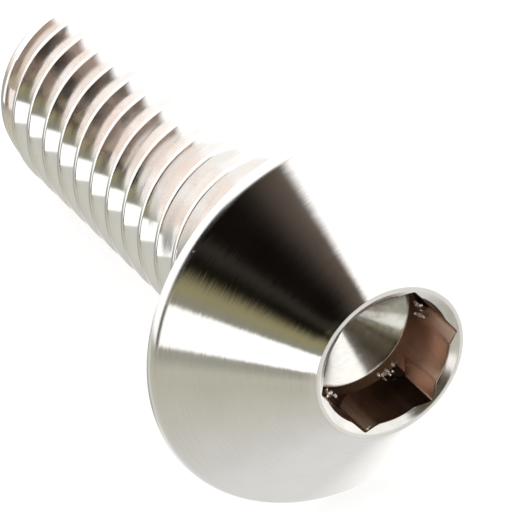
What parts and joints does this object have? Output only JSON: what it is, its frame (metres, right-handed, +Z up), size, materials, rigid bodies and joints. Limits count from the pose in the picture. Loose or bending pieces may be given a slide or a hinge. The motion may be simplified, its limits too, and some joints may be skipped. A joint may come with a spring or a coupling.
{
  "type": "button head screw",
  "caption": "Metal button head screw with a conical head, a hexagon socket and a fine full-length thread; it clamps a plate under its flat seat.",
  "frame": {"origin": "middle of the flat seat under the head, on the screw's axis", "axes": "+Z up, with the screw lying on a floor. The head points along +X and the shank along -X. The axis rises by 11.6 degrees towards the head, because the screw rests on the rim of its head and on the last full turn of its thread"},
  "size_m": [0.0152, 0.0094, 0.0093],
  "materials": {
    "polished_metal": "turned and polished stainless steel, with fine turning marks that run around the axis"
  },
  "bodies": {
    "root": {"screw": "polished_metal"}
  },
  "joints": []
}
